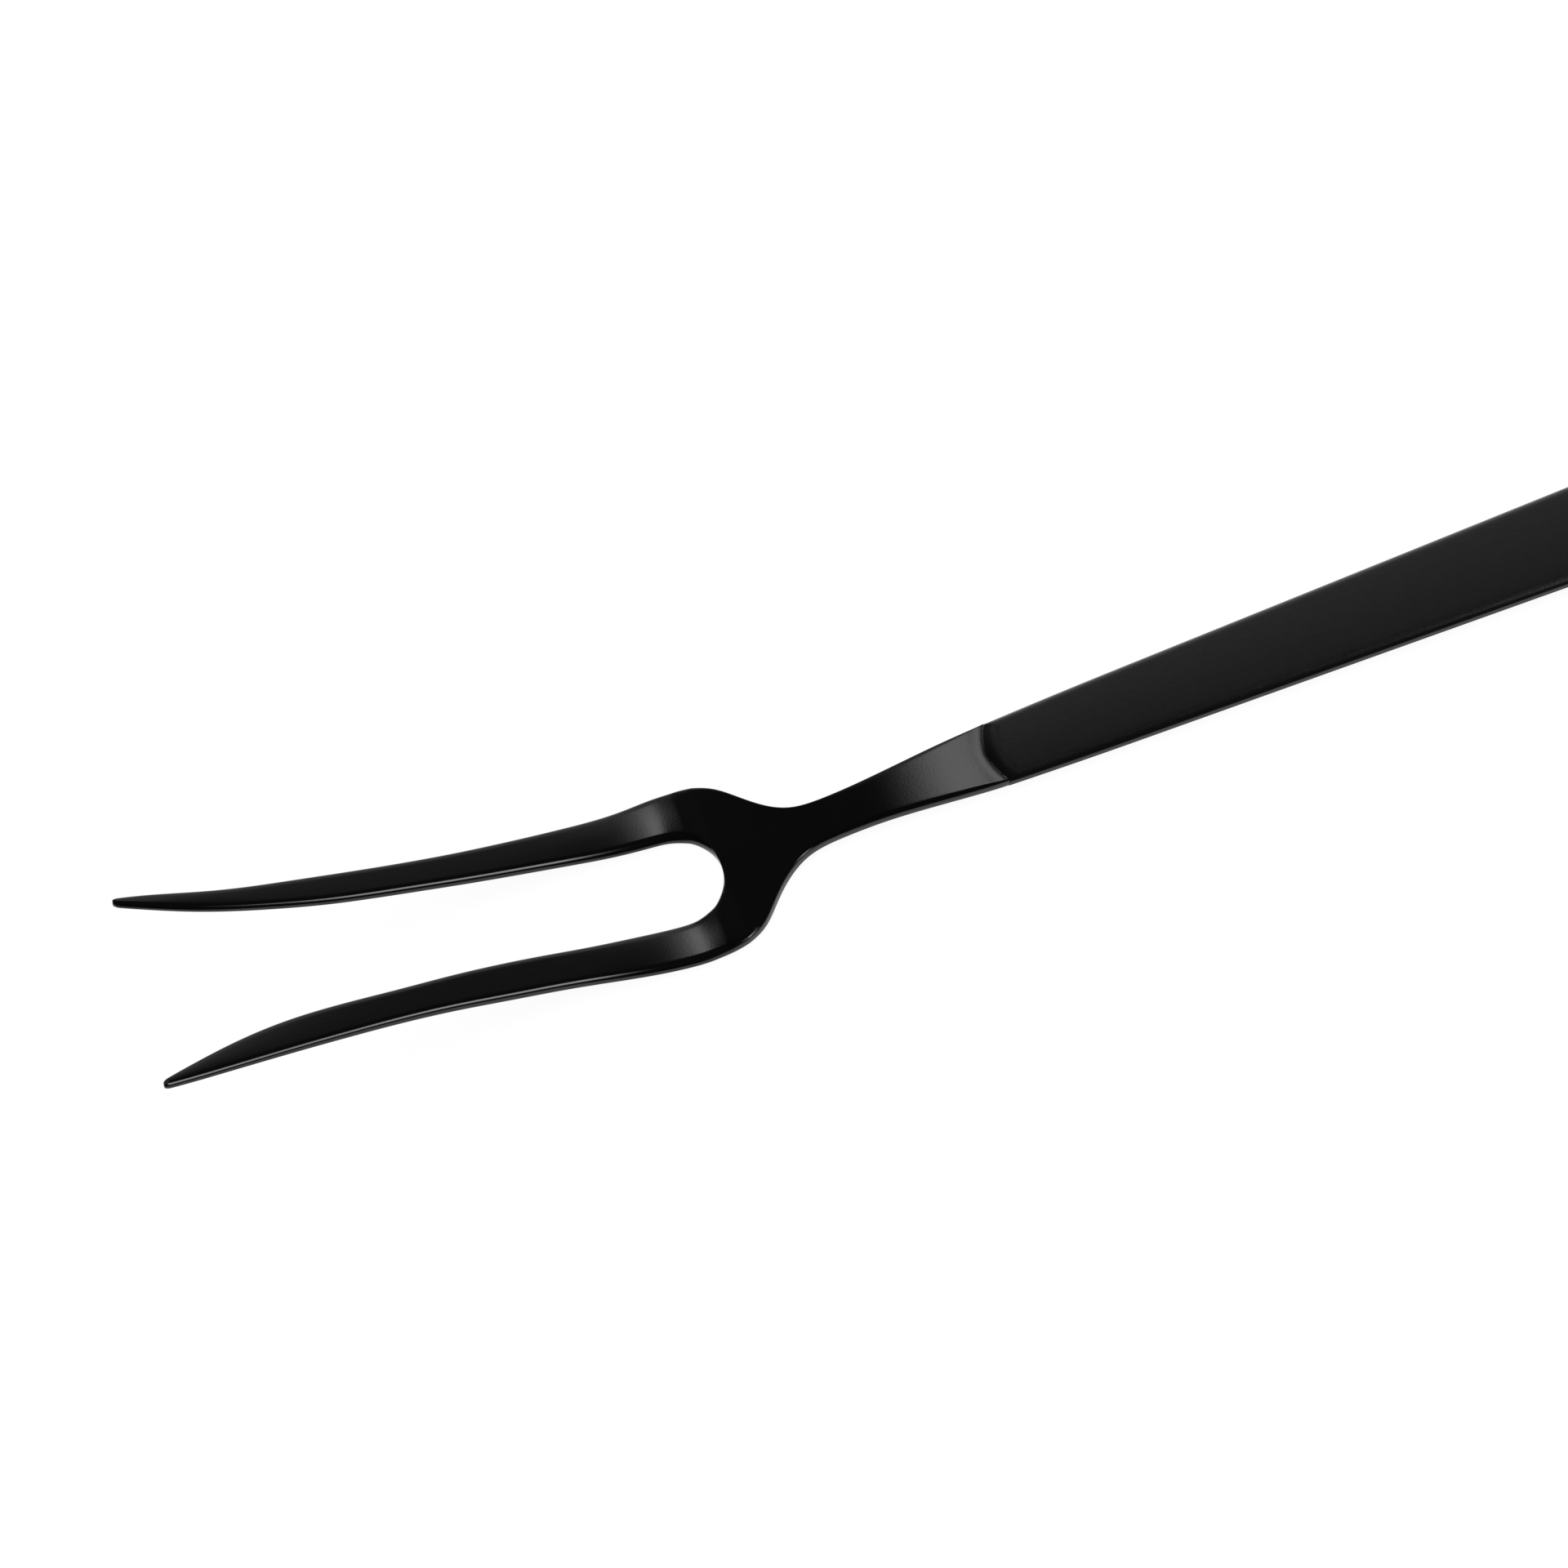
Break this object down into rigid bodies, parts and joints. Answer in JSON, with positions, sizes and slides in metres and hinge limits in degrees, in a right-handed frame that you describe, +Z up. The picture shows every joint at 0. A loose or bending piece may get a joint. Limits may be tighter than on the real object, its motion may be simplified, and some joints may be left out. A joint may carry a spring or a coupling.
{
  "type": "carving fork",
  "caption": "Long carving fork of black-finished steel with a glossy forked head, raised curved tines and a slim satin handle, for holding meat while it is sliced.",
  "frame": {"origin": "middle of the fork's box in plan, at the level of the surface it lies on", "axes": "+X from the tine tips to the butt of the handle, +Z up, towards the side the tines rise to, +Y across the fork"},
  "size_m": [0.33, 0.0411, 0.029],
  "materials": {
    "gloss_black_steel": "mirror-polished under a thin black coating",
    "satin_black_steel": "fine lengthwise brushing under a thin black coating",
    "pin_steel": "plain steel, unseen",
    "core_resin": "cast, unseen"
  },
  "bodies": {
    "root": {"fork_head": "gloss_black_steel", "handle_front_shell": "satin_black_steel", "handle_back_shell": "satin_black_steel", "tang_pin_front": "pin_steel", "tang_pin_rear": "pin_steel", "handle_core": "core_resin"}
  },
  "joints": []
}
